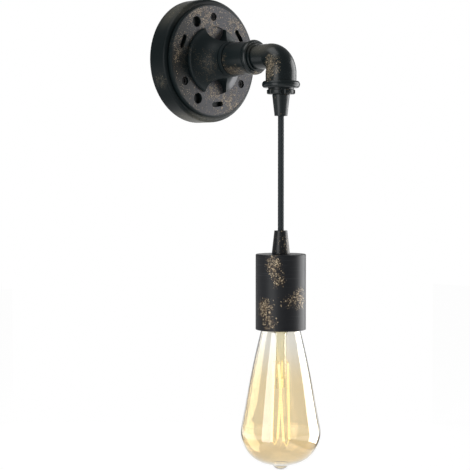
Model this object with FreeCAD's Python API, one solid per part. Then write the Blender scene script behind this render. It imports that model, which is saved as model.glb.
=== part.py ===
import FreeCAD, Part
import math
import os

# Industrial pipe wall light: a round canopy with a cast flange, a short horizontal pipe arm,
# an elbow, and a lampholder with a squirrel-cage bulb that hangs from the elbow on a cord.
#
# Millimetres.  +Z is up, the wall is the plane Y = 0 and the arm points along -Y.
# The origin is the middle of the canopy's open back, on the axis of the arm.
# "Depth" is the distance from the wall, so a point at depth d has Y = -d.

# ---- clearances -------------------------------------------------------------------------
thread_gap = 0.05          # radial play between screwed surfaces
slip_gap = 0.3             # play between surfaces that move past each other
screw_hole_gap = 0.3       # radial play of a screw in its through hole
blind_gap = 1.0            # free depth past the end of a screwed-in thread
lead_gap = 0.35            # radial play of the cord in a bore

# ---- canopy and what fixes it to the wall --------------------------------------------------
canopy_radius = 51.3
canopy_depth = 18.0
canopy_wall = 1.2
canopy_corner = 3.0        # outside rounding of the front corner
least_corner = 0.2         # smallest rounding left inside a thick wall
plate_thick = 1.5          # mounting plate on the wall
plate_margin = 7.0         # metal of the plate outside the post circle
cable_hole_radius = 11.0   # hole in the plate for the house cable
wall_screw_spacing = 60.0
wall_slot_width = 4.8
wall_slot_length = 12.0

screw_circle = 36.4        # radius on which the screws, holes and slots of the flange lie
pattern_count = 3
screw_angle = 90.0         # first cover screw, then every 120 degrees
round_hole_angle = 121.0
slot_angle = 37.0
post_radius = 3.6
screw_radius = 2.0
screw_length = 12.0        # shank of a cover screw, under its head
screw_head_radius = 3.0
screw_head_height = 2.3
screw_head_edge = 0.45
recess_depth = 1.3         # cross recess in the screw heads
recess_width = 0.9
recess_length = 3.6
driver_slot_depth = 0.6    # screwdriver slot of the small screws
driver_slot_width = 0.4

# ---- cast flange with its bell boss -----------------------------------------------------
flange_radius = 47.0
flange_thick = 3.3
flange_chamfer = 0.8
flange_screw_hole = 3.4    # radius of the holes that the screw heads lie in
round_hole_radius = 4.5
slot_length = 12.3
slot_width = 4.2
boss_base_radius = 28.7
boss_neck_radius = 14.5
boss_height = 20.0         # from the flange's face to the start of the collar
boss_flare = 17.6          # radius of the concave flank
boss_edge = 0.8            # chamfer on the rim of the boss
pocket_radius = 11.5       # two round pockets cut in the flank, above and below
pocket_offset = 26.5
pocket_step = 1.0          # the pocket's floor lies this far below the face
collar_length = 3.9
groove_depth = 0.6
groove_width = 0.7
edge_chamfer = 0.7         # small turned chamfers of the arm's parts

# ---- horizontal arm ---------------------------------------------------------------------
nipple_radius = 8.0
nipple_bore = 5.5
nipple_in_sleeve = 9.5     # how far the nipple screws into the coupling
locknut_flats = 22.0
locknut_height = 4.0
washer_radius = 13.5
washer_thick = 1.2
nipple_tail = 1.3          # thread that shows behind the locknut
sleeve_radius = 13.5
sleeve_length = 22.3

# ---- elbow ------------------------------------------------------------------------------
arm_reach = 100.7          # depth of the hanging axis
elbow_thread_radius = 10.2
elbow_thread_length = 11.0
bead_radius = 14.2
bead_width = 5.6
bead_crown = 1.4           # how far the bead's middle stands above its edges
step_radius = 11.8
step_width = 1.9
leg_radius_in = 10.0       # horizontal leg
leg_radius_out = 12.3      # hanging leg, the bend grows to it
bend_radius = 13.0
bend_sections = 7
elbow_bore = 6.6
elbow_drop = 25.9          # from the arm's axis to the elbow's lower face
lower_bead_radius = 15.2
lower_bead_height = 5.3

# ---- castellated bush and upper cord grip ----------------------------------------------
bush_thread_radius = 8.4
bush_thread_length = 10.0
bush_neck_radius = 10.3
bush_neck_height = 1.5
bush_radius = 11.3
bush_height = 5.1          # neck and castellated rim together
bush_notches = 6
bush_notch_radius = 2.5
bush_notch_depth = 1.5
bush_notch_angle = -64.0   # first notch, measured from +X about +Z
stem_radius = 5.0          # M10 thread of both grips and of the hollow stem
grip_stem_length = 11.5
grip_length = 17.2
grip_wide_radius = 7.05
grip_mouth_radius = 5.15
grip_edge = 0.5
mouth_bore_radius = 4.2    # bell mouth that the cord bends in
mouth_bore_taper = 0.5
grip_screw_share = 0.33    # the set screw's height, as a share of the cone from its wide end
grip_screw_radius = 1.5
grip_screw_recess = 0.4    # the set screw lies this far under the cone's surface

# ---- cord -------------------------------------------------------------------------------
cord_radius = 2.45
cord_free_length = 91.3
bend_half_length = 2.0     # the cord bends over twice this length, round the pivot
bend_core_radius = 1.7
lead_start_depth = 6.5     # end of the cord inside the canopy
core_radius = 0.9          # insulated conductor
core_spread = 1.1          # distance of a core from the cord's axis
core_exit = 2.2            # straight length of a core as it leaves the cord's end

# ---- wiring in the canopy ---------------------------------------------------------------
block_width = 28.0
block_height = 16.0
block_depth = 10.5
block_drop = 27.0          # centre of the terminal block below the arm's axis
block_poles = 3
tube_radius = 2.6          # brass tubes of the terminal block
tube_bore = 1.5
block_screw_radius = 1.3
block_screw_height = 3.2
block_fixing_radius = 1.2
block_head_radius = 2.4
block_head_height = 1.2
core_bend_rise = 6.0       # height above the block at which a core turns down
core_entry_rise = 2.5      # straight length of a core above its tube
earth_angle = 150.0
earth_circle = 26.0
earth_head_radius = 3.5
earth_head_height = 2.0
tag_radius = 4.2
tag_thick = 0.8
tag_tongue = 9.0           # from the screw to the end of the tag's barrel
tag_barrel_start = 3.9
earth_core_sag = 1.4       # how far the earth core bows before the tag

# ---- lampholder -------------------------------------------------------------------------
lower_grip_length = 18.8
lower_grip_mouth_radius = 5.2
lower_grip_wide_radius = 7.25
grip_thread_depth = 9.0
cup_radius = 20.15
cup_length = 60.5
cup_wall = 1.3
cup_top_thick = 1.7
cup_top_edge = 0.9
cup_rim_edge = 0.5
stem_bore = 3.2
stem_below_nut = 5.0
cup_nut_flats = 14.0
cup_nut_height = 3.0
tail_start = 2.0           # cord that shows under the hollow stem
dome_radius = 16.4
dome_neck_radius = 7.5
dome_neck_height = 4.0
dome_height = 20.0
dome_wall = 1.8
base_thick = 4.5
base_lip = 2.0             # part of the base that stands up inside the dome
skirt_radius = 16.6
skirt_length = 30.0
skirt_wall = 2.2
shell_wall = 0.4
shell_length = 23.0
shell_ledge = 1.5          # ledge of the skirt that the screw shell stands on
contact_width = 5.0
contact_thick = 0.5
contact_span = 10.8
contact_pin_radius = 1.2
side_strap_length = 6.0
holder_screw_radius = 1.5
holder_head_radius = 2.6
holder_head_height = 1.6
holder_screw_spread = 18.0
tail_radius = 0.9
tail_drop = 2.5            # straight length of a conductor under the cord

# ---- bulb (64 mm squirrel-cage shape, 27 mm screw cap) -----------------------------------
bulb_radius = 32.0
bulb_length = 142.0        # tip of the cap's contact to tip of the glass
bulb_seat_drop = 2.3       # tip of the cap's contact under the lampholder's base
belly_rise = 31.0          # widest level above the tip of the glass
shoulder_radius = 15.7     # glass shoulder just under the cap
shoulder_drop = 3.0
upper_flank_radius = 19.7
upper_flank_drop = 19.72   # level of that radius under the cap's rim
lower_flank_radius = 25.7
lower_flank_drop = 48.62
hip_radius = 30.9          # flank just above the belly
hip_rise = 7.2
bowl_radius = 29.3         # outline of the bowl under the belly
bowl_drop = 12.0
heel_radius = 21.3
heel_drop = 21.7
toe_radius = 10.0
toe_drop = 26.5
tip_radius = 6.2           # sealed exhaust tip, a small round nub
tip_height = 3.4
glass_wall = 0.8
cap_radius = 13.2          # crest of the cap's thread
cap_gap = 0.25             # radial play of the cap in the screw shell
cap_thread_depth = 0.8
cap_thread_pitch = 3.62
cap_threads = 4
cap_rim_height = 4.0
cap_wall = 0.4
cap_shoulder_height = 3.5
cap_shoulder_radius = 9.6
cap_insulator_height = 2.8
cap_insulator_radius = 5.0
cap_contact_height = 1.5
cap_thread_runout = 0.6
neck_radius = 12.3         # glass inside the cap
neck_overlap = 3.5
stem_tube_radius = 4.3
stem_tube_wall = 0.8
stem_tube_length = 42.0
stem_pinch_length = 8.0
stem_pinch_thick = 2.4
stem_flare_height = 1.0    # rim of the flare above the cap's rim
stem_flare_drop = 10.0     # the flare narrows to the tube over this height
stem_flare_bow = 2.2       # how far the flare's middle stands off the tube
stem_flare_middle = 3.4    # level of that middle under the cap's rim
filament_count = 4
filament_radius = 0.9
filament_length = 62.0
filament_top_radius = 6.0
filament_bottom_radius = 7.4
filament_twist = 34.0
filament_first_angle = -150.0
filament_drop = 30.0       # from the cap's rim to the top of the filaments
wire_radius = 0.35
wire_rise = 1.2            # wire above a filament before it turns to the stem
hook_drop = 4.5
driver_thick = 1.2
driver_drop = 3.0          # board under the top of the thread
capacitor_radius = 2.6
capacitor_length = 6.0
capacitor_offset = 3.0

# ---- levels worked out from the sizes above ------------------------------------------------
flange_back = canopy_depth
flange_face = flange_back + flange_thick
collar_start = flange_face + boss_height
sleeve_start = collar_start + collar_length
sleeve_end = sleeve_start + sleeve_length
bead_end = sleeve_end + bead_width
step_end = bead_end + step_width
bend_depth = arm_reach - bend_radius
nipple_back = canopy_depth - canopy_wall - washer_thick - locknut_height - nipple_tail
nipple_front = sleeve_start + nipple_in_sleeve

block_bottom = -block_drop - block_height / 2
block_top = block_bottom + block_height
block_front = plate_thick + block_depth
tube_depth = plate_thick + block_depth / 2

bush_top = -elbow_drop
bush_bottom = bush_top - bush_height
mouth_level = bush_bottom - grip_length
pivot_level = mouth_level + bend_half_length
lower_grip_top = mouth_level - cord_free_length
cup_top = lower_grip_top - lower_grip_length
cup_bottom = cup_top - cup_length
cup_ceiling = cup_top - cup_top_thick
cup_nut_bottom = cup_ceiling - cup_nut_height
stem_top = cup_top + grip_thread_depth
stem_bottom = cup_nut_bottom - stem_below_nut
dome_top = cup_nut_bottom
dome_bottom = dome_top - dome_height
base_top = dome_bottom + base_lip
tail_end = stem_bottom - tail_start
base_bottom = dome_bottom - base_thick
skirt_bottom = dome_bottom - skirt_length
shell_top = base_bottom
shell_bottom = shell_top - shell_length
shell_inner_radius = cap_radius + cap_gap

cap_tip = base_bottom - bulb_seat_drop
bulb_tip = cap_tip - bulb_length
belly_level = bulb_tip + belly_rise
insulator_top = cap_tip - cap_contact_height
shoulder_top = insulator_top - cap_insulator_height
thread_top = shoulder_top - cap_shoulder_height
thread_bottom = thread_top - cap_threads * cap_thread_pitch
cap_rim = thread_bottom - cap_rim_height
cap_root_radius = cap_radius - cap_thread_depth
cap_inner_radius = cap_root_radius - 2 * cap_wall
filament_top = cap_rim - filament_drop
filament_bottom = filament_top - filament_length
stem_tube_bottom = cap_rim - stem_tube_length

origin = FreeCAD.Vector(0, 0, 0)
arm_axis = FreeCAD.Vector(0, -1, 0)
wall_axis = FreeCAD.Vector(0, 1, 0)
side_axis = FreeCAD.Vector(1, 0, 0)
up_axis = FreeCAD.Vector(0, 0, 1)
hang_point = FreeCAD.Vector(0, -arm_reach, 0)
round_inset = 1 - math.sqrt(0.5)   # inset of a quarter round's middle, as a share of its radius


# ---- shared shapes ----------------------------------------------------------------------
def on_arm_plane(radius, depth):
    """Point of an outline, in the plane through the arm's axis."""
    return FreeCAD.Vector(radius, -depth, 0)


def on_hanging_plane(radius, level):
    """Point of an outline, in the plane through the hanging axis."""
    return FreeCAD.Vector(radius, -arm_reach, level)


def outline_face(outline, place):
    """Face inside an outline.  Each entry is a corner (a, b), or a pair of points
    ((a, b), (a, b)): an arc from the corner before, through the first, to the second."""
    edges = []
    first = place(*outline[0])
    last = first
    for entry in outline[1:]:
        if isinstance(entry[0], tuple):
            middle = place(*entry[0])
            end = place(*entry[1])
            edges.append(Part.Arc(last, middle, end).toShape())
        else:
            end = place(*entry)
            edges.append(Part.LineSegment(last, end).toShape())
        last = end
    if not last.isEqual(first, 1e-6):
        edges.append(Part.LineSegment(last, first).toShape())
    return Part.Face(Part.Wire(edges))


def turned_on_arm(outline):
    """Solid turned about the arm's axis from an outline of (radius, depth)."""
    return outline_face(outline, on_arm_plane).revolve(origin, arm_axis, 360)


def turned_hanging(outline):
    """Solid turned about the hanging axis from an outline of (radius, height)."""
    return outline_face(outline, on_hanging_plane).revolve(hang_point, up_axis, 360)


def arm_rod(radius, start, end, x=0.0, z=0.0):
    """Cylinder along the arm from depth start to depth end."""
    return Part.makeCylinder(radius, end - start, FreeCAD.Vector(x, -start, z), arm_axis)


def hanging_rod(radius, bottom, top, x=0.0, y=0.0):
    """Vertical cylinder, placed from the hanging axis."""
    base = FreeCAD.Vector(x, y - arm_reach, bottom)
    return Part.makeCylinder(radius, top - bottom, base, up_axis)


def dome_arc(radius, edge, pole):
    """Arc entry of an outline, from (radius, edge) to (0, pole), round a centre on the axis."""
    rise = pole - edge
    ball = (radius ** 2 + rise ** 2) / (2 * abs(rise))
    centre = pole - math.copysign(ball, rise)
    half = math.asin(radius / ball) / 2
    if abs(rise) > ball:
        half = (math.pi - 2 * half) / 2
    middle = (ball * math.sin(half), centre + math.copysign(ball * math.cos(half), rise))
    return middle, (0, pole)


def driver_slot(radius, top, x, z):
    """Cutter for the slot across a small screw whose head ends at depth top."""
    corner = FreeCAD.Vector(x - radius, -top, z - driver_slot_width / 2)
    return Part.makeBox(2 * radius, driver_slot_depth, driver_slot_width, corner)


def rod(start, end, radius):
    """Cylinder from one point to another."""
    along = end - start
    return Part.makeCylinder(radius, along.Length, start, along)


def wire_run(points, radius):
    """One round wire along straight runs, with a ball at each corner."""
    run = rod(points[0], points[1], radius)
    for start, end in zip(points[1:-1], points[2:]):
        run = run.fuse(Part.makeSphere(radius, start)).fuse(rod(start, end, radius))
    return run.removeSplitter()


def hexagon(flats, start, end, axis_point, along):
    """Hexagonal prism with the given width across flats."""
    corner = flats / math.sqrt(3)
    other = along.cross(side_axis)
    foot = axis_point + along * start
    ring = []
    for i in range(7):
        turn = math.radians(60 * i)
        ring.append(foot + side_axis * (corner * math.cos(turn)) + other * (corner * math.sin(turn)))
    return Part.Face(Part.makePolygon(ring)).extrude(along * (end - start))


def on_pattern(first_angle, radius=screw_circle):
    """The (x, z) places of a feature that repeats round the flange."""
    pitch = 360.0 / pattern_count
    turns = [math.radians(first_angle + pitch * i) for i in range(pattern_count)]
    return [(radius * math.cos(t), radius * math.sin(t)) for t in turns]


def slot_cutter(length, width, start, end, x, z, angle):
    """Round-ended slot along the arm's axis, its length turned by angle from +X."""
    half = (length - width) / 2
    bar = Part.makeBox(2 * half, end - start, width, FreeCAD.Vector(-half, -end, -width / 2))
    ends = [arm_rod(width / 2, start, end, side * half) for side in (-1, 1)]
    slot = bar.fuse(ends)
    slot.rotate(origin, arm_axis, angle)
    slot.translate(FreeCAD.Vector(x, 0, z))
    return slot


# ---- at the wall ------------------------------------------------------------------------
def mounting_plate():
    """Flat steel disc on the wall: cable hole, two wall slots and the earth screw's hole."""
    plate = arm_rod(screw_circle + plate_margin, 0, plate_thick)
    plate = plate.cut(arm_rod(cable_hole_radius, 0, plate_thick))
    for side in (-1, 1):
        x = side * wall_screw_spacing / 2
        plate = plate.cut(slot_cutter(wall_slot_length, wall_slot_width, 0, plate_thick, x, 0, 0))
    earth_x, earth_z = earth_place()
    plate = plate.cut(arm_rod(screw_radius + thread_gap, 0, plate_thick, earth_x, earth_z))
    tap = block_fixing_radius + thread_gap
    return plate.cut(arm_rod(tap, 0, plate_thick, fixing_x(), -block_drop))


def threaded_posts():
    """Three posts riveted to the plate, with a blind thread for the cover screws."""
    front = canopy_depth - canopy_wall
    posts = []
    for x, z in on_pattern(screw_angle):
        post = arm_rod(post_radius, plate_thick, front, x, z)
        bore_end = canopy_depth - screw_length - blind_gap
        posts.append(post.cut(arm_rod(screw_radius + thread_gap, bore_end, front, x, z)))
    return Part.makeCompound(posts)


def canopy():
    """Drawn steel drum, open at the wall, with a rounded front corner."""
    inner = canopy_radius - canopy_wall
    inner_front = canopy_depth - canopy_wall
    inner_corner = max(canopy_corner - canopy_wall, least_corner)
    outer_inset = round_inset * canopy_corner
    inner_inset = round_inset * inner_corner
    hole = nipple_radius + screw_hole_gap
    shell = turned_on_arm([
        (canopy_radius, 0),
        (canopy_radius, canopy_depth - canopy_corner),
        ((canopy_radius - outer_inset, canopy_depth - outer_inset),
         (canopy_radius - canopy_corner, canopy_depth)),
        (hole, canopy_depth),
        (hole, inner_front),
        (inner - inner_corner, inner_front),
        ((inner - inner_inset, inner_front - inner_inset),
         (inner, inner_front - inner_corner)),
        (inner, 0)])
    for x, z in on_pattern(screw_angle):
        shell = shell.cut(arm_rod(screw_radius + screw_hole_gap, 0, canopy_depth, x, z))
    return shell


def cover_screws():
    """Three cross-head screws, their heads sunk in the flange's holes."""
    top = canopy_depth + screw_head_height
    blank = turned_on_arm([
        (0, canopy_depth - screw_length),
        (screw_radius, canopy_depth - screw_length),
        (screw_radius, canopy_depth),
        (screw_head_radius, canopy_depth),
        (screw_head_radius, top - screw_head_edge),
        (screw_head_radius - screw_head_edge, top),
        (0, top)])
    screws = []
    for x, z in on_pattern(screw_angle):
        screw = blank.translated(FreeCAD.Vector(x, 0, z))
        for long_x, long_z in ((recess_length, recess_width), (recess_width, recess_length)):
            corner = FreeCAD.Vector(x - long_x / 2, -top, z - long_z / 2)
            screw = screw.cut(Part.makeBox(long_x, recess_depth, long_z, corner))
        screws.append(screw)
    return Part.makeCompound(screws)


def wall_flange():
    """Cast disc with a bell boss that carries the arm, pierced by holes and slots."""
    bore = nipple_radius + thread_gap
    flare_centre = boss_neck_radius + boss_flare

    def flank(radius):
        across = flare_centre - radius
        return collar_start - math.sqrt(boss_flare ** 2 - across ** 2)

    rim_top = flank(boss_base_radius)
    middle_radius = (boss_base_radius + boss_neck_radius) / 2
    inset = boss_base_radius - boss_edge
    floor = boss_neck_radius - groove_depth
    casting = turned_on_arm([
        (bore, flange_back),
        (flange_radius, flange_back),
        (flange_radius, flange_face - flange_chamfer),
        (flange_radius - flange_chamfer, flange_face),
        (boss_base_radius, flange_face),
        (boss_base_radius, rim_top - boss_edge),
        (inset, flank(inset)),
        ((middle_radius, flank(middle_radius)), (boss_neck_radius, collar_start)),
        (floor, collar_start),
        (floor, collar_start + groove_width),
        (boss_neck_radius, collar_start + groove_width),
        (boss_neck_radius, sleeve_start - edge_chamfer),
        (boss_neck_radius - edge_chamfer, sleeve_start),
        (bore, sleeve_start)])
    base = arm_rod(boss_base_radius, flange_face - pocket_step, sleeve_start)
    for side in (-1, 1):
        pocket = arm_rod(pocket_radius, flange_face - pocket_step, sleeve_start, 0,
                         side * pocket_offset)
        casting = casting.cut(pocket.common(base))
    for x, z in on_pattern(screw_angle):
        casting = casting.cut(arm_rod(flange_screw_hole, flange_back, flange_face, x, z))
    for x, z in on_pattern(round_hole_angle):
        casting = casting.cut(arm_rod(round_hole_radius, flange_back, flange_face, x, z))
    for x, z in on_pattern(slot_angle):
        tangent = math.degrees(math.atan2(z, x)) + 90
        casting = casting.cut(slot_cutter(slot_length, slot_width, flange_back, flange_face,
                                          x, z, tangent))
    return casting


# ---- wiring inside the canopy ---------------------------------------------------------------
def earth_place():
    """The (x, z) place of the earth screw on the mounting plate."""
    turn = math.radians(earth_angle)
    return earth_circle * math.cos(turn), earth_circle * math.sin(turn)


def pole_places():
    """X positions of the terminal block's poles, live first and earth last."""
    pitch = block_width / block_poles
    return [pitch * (i - (block_poles - 1) / 2) for i in range(block_poles)]


def terminal_block():
    """Moulded block with a tube bore for each pole and two screw wells a pole."""
    corner = FreeCAD.Vector(-block_width / 2, -block_front, block_bottom)
    block = Part.makeBox(block_width, block_depth, block_height, corner)
    well = block_screw_radius + screw_hole_gap
    for x in pole_places():
        foot = FreeCAD.Vector(x, -tube_depth, block_bottom)
        block = block.cut(Part.makeCylinder(tube_radius + thread_gap, block_height, foot, up_axis))
        for z in screw_levels():
            block = block.cut(arm_rod(well, tube_depth, block_front, x, z))
    hole = block_fixing_radius + thread_gap
    return block.cut(arm_rod(hole, plate_thick, block_front, fixing_x(), -block_drop))


def fixing_x():
    """The terminal block is held by one screw, between its first two poles."""
    poles = pole_places()
    return (poles[0] + poles[1]) / 2


def screw_levels():
    """Heights of the two clamp screws in each pole."""
    return [-block_drop - block_height / 4, -block_drop + block_height / 4]


def terminal_tubes():
    """Brass tubes, one for each pole, tapped for the clamp screws."""
    tap = block_screw_radius + thread_gap
    tubes = []
    for x in pole_places():
        foot = FreeCAD.Vector(x, -tube_depth, block_bottom)
        tube = Part.makeCylinder(tube_radius, block_height, foot, up_axis)
        tube = tube.cut(Part.makeCylinder(tube_bore, block_height, foot, up_axis))
        for z in screw_levels():
            tube = tube.cut(arm_rod(tap, tube_depth, tube_depth + tube_radius, x, z))
        tubes.append(tube)
    return Part.makeCompound(tubes)


def clamp_screws():
    """Two small slotted screws for each pole."""
    start = tube_depth + core_radius
    screws = []
    for x in pole_places():
        for z in screw_levels():
            screw = arm_rod(block_screw_radius, start, start + block_screw_height, x, z)
            slot = driver_slot(block_screw_radius, start + block_screw_height, x, z)
            screws.append(screw.cut(slot))
    return Part.makeCompound(screws)


def block_screw():
    """Pan-head screw that holds the terminal block on the plate."""
    shank = arm_rod(block_fixing_radius, 0, block_front, fixing_x(), -block_drop)
    head_top = block_front + block_head_height
    head = arm_rod(block_head_radius, block_front, head_top, fixing_x(), -block_drop)
    return shank.fuse(head)


def earth_screw():
    """Screw in the mounting plate that clamps the earth tag."""
    x, z = earth_place()
    seat = plate_thick + tag_thick
    shank = arm_rod(screw_radius, 0, seat, x, z)
    head = arm_rod(earth_head_radius, seat, seat + earth_head_height, x, z)
    bar = FreeCAD.Vector(x - earth_head_radius, -seat - earth_head_height, z - recess_width / 2)
    slot = Part.makeBox(2 * earth_head_radius, recess_depth, recess_width, bar)
    return shank.fuse(head).cut(slot)


def tag_point(reach):
    """Point in the tag's middle plane, at a distance from the earth screw to the arm's axis."""
    x, z = earth_place()
    inward = FreeCAD.Vector(-x, 0, -z)
    inward.normalize()
    return FreeCAD.Vector(x, -plate_thick - tag_thick / 2, z) + inward * reach


def earth_tag():
    """Ring terminal of the earth conductor, its tongue towards the arm's axis."""
    x, z = earth_place()
    ring = arm_rod(tag_radius, plate_thick, plate_thick + tag_thick, x, z)
    barrel = rod(tag_point(tag_barrel_start), tag_point(tag_tongue), core_radius + tag_thick / 2)
    above_plate = arm_rod(flange_radius, plate_thick, canopy_depth)
    ring = ring.fuse(barrel.common(above_plate))
    return ring.cut(arm_rod(screw_radius + thread_gap, 0, canopy_depth, x, z))


def conductor(index):
    """Live or neutral core, from the cord's end to its pole of the terminal block."""
    x = pole_places()[index]
    start_x = math.copysign(core_spread, x)
    back = lead_start_depth - core_exit
    return wire_run([
        FreeCAD.Vector(start_x, -lead_start_depth, -core_spread / 2),
        FreeCAD.Vector(start_x, -back, -core_spread / 2),
        FreeCAD.Vector(x, -back, block_top + core_bend_rise),
        FreeCAD.Vector(x, -tube_depth, block_top + core_entry_rise),
        FreeCAD.Vector(x, -tube_depth, block_top - block_height / 3)], core_radius)


def earth_conductor():
    """Earth core, from the cord's end to the barrel of its ring terminal."""
    tag_end = tag_point(tag_tongue)
    middle = tag_end / 2
    depth = plate_thick + core_radius + thread_gap
    run = wire_run([
        FreeCAD.Vector(0, -lead_start_depth, core_spread),
        FreeCAD.Vector(0, core_exit - lead_start_depth, core_spread),
        FreeCAD.Vector(middle.x, -depth, middle.z + earth_core_sag),
        FreeCAD.Vector(tag_end.x, -depth, tag_end.z)], core_radius)
    return run.cut(earth_tag())


# ---- arm --------------------------------------------------------------------------------
def arm_nipple():
    """Hollow threaded rod that clamps canopy, flange and coupling together."""
    rod_outside = arm_rod(nipple_radius, nipple_back, nipple_front)
    return rod_outside.cut(arm_rod(nipple_bore, nipple_back, nipple_front))


def rear_washer():
    """Flat washer between the canopy's front wall and the locknut."""
    front = canopy_depth - canopy_wall
    disc = arm_rod(washer_radius, front - washer_thick, front)
    return disc.cut(arm_rod(nipple_radius + screw_hole_gap, front - washer_thick, front))


def rear_locknut():
    """Hexagon nut on the nipple's end, inside the canopy."""
    front = canopy_depth - canopy_wall - washer_thick
    nut = hexagon(locknut_flats, front - locknut_height, front, origin, arm_axis)
    return nut.cut(arm_rod(nipple_radius + thread_gap, front - locknut_height, front))


def coupling_sleeve():
    """Round pipe coupling: the nipple at one end, the elbow's male end at the other."""
    small = nipple_radius + thread_gap
    large = elbow_thread_radius + thread_gap
    change = nipple_front + slip_gap
    return turned_on_arm([
        (small, sleeve_start),
        (sleeve_radius - edge_chamfer, sleeve_start),
        (sleeve_radius, sleeve_start + edge_chamfer),
        (sleeve_radius, sleeve_end - edge_chamfer),
        (sleeve_radius - edge_chamfer, sleeve_end),
        (large, sleeve_end),
        (large, change),
        (small, change)])


# ---- elbow ------------------------------------------------------------------------------
def growing_bend():
    """Quarter bend lofted through circles that grow from the horizontal leg's radius
    to the hanging leg's."""
    centre = FreeCAD.Vector(0, -bend_depth, -bend_radius)
    rings = []
    for i in range(bend_sections):
        share = i / (bend_sections - 1)
        turn = math.radians(90 * share)
        outward = FreeCAD.Vector(0, -math.sin(turn), math.cos(turn))
        along = FreeCAD.Vector(0, -math.cos(turn), -math.sin(turn))
        radius = leg_radius_in + (leg_radius_out - leg_radius_in) * share
        circle = Part.Circle(centre + outward * bend_radius, along, radius)
        rings.append(Part.Wire([circle.toShape()]))
    return Part.makeLoft(rings, True, False)


def bend_bore(radius):
    """Quarter ring of the given radius, along the bend's centre line."""
    circle = Part.Circle(FreeCAD.Vector(0, -bend_depth, 0), arm_axis, radius)
    disc = Part.Face(Part.Wire([circle.toShape()]))
    centre = FreeCAD.Vector(0, -bend_depth, -bend_radius)
    return disc.revolve(centre, side_axis, 90)


def elbow():
    """Cast elbow: male end, round bead, narrow horizontal leg that grows through the
    bend into a wider hanging leg, and a rounded bead at its mouth."""
    male_start = sleeve_end - elbow_thread_length
    bead_edge = bead_radius - bead_crown
    bead_middle = (sleeve_end + bead_end) / 2
    lower_edge = lower_bead_radius - bead_crown
    lower_top = bush_top + lower_bead_height
    lower_middle = bush_top + lower_bead_height / 2
    across = turned_on_arm([
        (0, male_start),
        (elbow_thread_radius - edge_chamfer, male_start),
        (elbow_thread_radius, male_start + edge_chamfer),
        (elbow_thread_radius, sleeve_end),
        (bead_edge, sleeve_end),
        ((bead_radius, bead_middle), (bead_edge, bead_end)),
        (step_radius, bead_end),
        (step_radius, step_end - edge_chamfer),
        (step_radius - edge_chamfer, step_end),
        (leg_radius_in, step_end),
        (leg_radius_in, bend_depth),
        (0, bend_depth)])
    down = turned_hanging([
        (0, -bend_radius),
        (leg_radius_out, -bend_radius),
        (leg_radius_out, lower_top),
        (lower_edge, lower_top),
        ((lower_bead_radius, lower_middle), (lower_edge, bush_top)),
        (0, bush_top)])
    body = across.fuse(growing_bend()).fuse(down)
    seat = bush_top + bush_thread_length + slip_gap
    body = body.cut(arm_rod(elbow_bore, male_start, bend_depth))
    body = body.cut(bend_bore(elbow_bore))
    body = body.cut(hanging_rod(elbow_bore, bush_top, -bend_radius))
    return body.cut(hanging_rod(bush_thread_radius + thread_gap, bush_top, seat))


# ---- bush, grip and their screw -----------------------------------------------------------
def castellated_bush():
    """Screwed bush in the elbow's mouth, with a notched rim to turn it by."""
    rim_top = bush_top - bush_neck_height
    bush = turned_hanging([
        (stem_radius + thread_gap, bush_bottom),
        (bush_radius - edge_chamfer, bush_bottom),
        (bush_radius, bush_bottom + edge_chamfer),
        (bush_radius, rim_top - edge_chamfer / 2),
        (bush_radius - edge_chamfer / 2, rim_top),
        (bush_neck_radius, rim_top),
        (bush_neck_radius, bush_top),
        (bush_thread_radius, bush_top),
        (bush_thread_radius, bush_top + bush_thread_length),
        (stem_radius + thread_gap, bush_top + bush_thread_length)])
    reach = bush_radius - bush_notch_depth + bush_notch_radius
    for i in range(bush_notches):
        turn = math.radians(bush_notch_angle + 360 * i / bush_notches)
        notch = hanging_rod(bush_notch_radius, bush_bottom, rim_top,
                            reach * math.cos(turn), reach * math.sin(turn))
        bush = bush.cut(notch)
    return bush


def upper_cord_grip():
    """Tapered cord grip: threaded stem above, bell mouth below for the cord to bend in."""
    bore = cord_radius + lead_gap
    stem_end = bush_bottom + grip_stem_length
    grip = turned_hanging([
        (bore, stem_end),
        (stem_radius, stem_end),
        (stem_radius, bush_bottom),
        (grip_wide_radius - grip_edge, bush_bottom),
        (grip_wide_radius, bush_bottom - grip_edge),
        (grip_mouth_radius, mouth_level),
        (mouth_bore_radius, mouth_level),
        (mouth_bore_radius - mouth_bore_taper, pivot_level + bend_half_length / 3),
        (bore, pivot_level + bend_half_length + slip_gap)])
    return grip.cut(set_screw_hole(*upper_screw_place()))


def upper_screw_place():
    """Height of the upper grip's set screw, and the cone's radius there."""
    narrowing = grip_wide_radius - grip_mouth_radius
    outside = grip_wide_radius - narrowing * grip_screw_share
    return bush_bottom - grip_length * grip_screw_share, outside


def set_screw_hole(level, outside):
    """Tapped hole on the side of the wall, from the cord to the cone's surface."""
    base = FreeCAD.Vector(0, -arm_reach, level)
    radius = grip_screw_radius + thread_gap
    return Part.makeCylinder(radius, outside + blind_gap, base, wall_axis)


def set_screw(level, outside):
    """Set screw that presses on the cord, slotted at its outer end."""
    length = outside - grip_screw_recess - cord_radius
    base = FreeCAD.Vector(0, cord_radius - arm_reach, level)
    screw = Part.makeCylinder(grip_screw_radius, length, base, wall_axis)
    slot_depth = arm_reach - cord_radius - length + driver_slot_depth
    return screw.cut(driver_slot(grip_screw_radius, slot_depth, 0, level))


def upper_grip_screw():
    """Set screw of the upper grip."""
    return set_screw(*upper_screw_place())


# ---- cord -------------------------------------------------------------------------------
def inner_lead():
    """Cord inside the arm: straight through the nipple, round the elbow, down to the grip."""
    across = arm_rod(cord_radius, lead_start_depth, bend_depth)
    bottom = pivot_level + bend_half_length
    down = hanging_rod(cord_radius, bottom, -bend_radius)
    return across.fuse(bend_bore(cord_radius)).fuse(down).removeSplitter()


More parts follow.
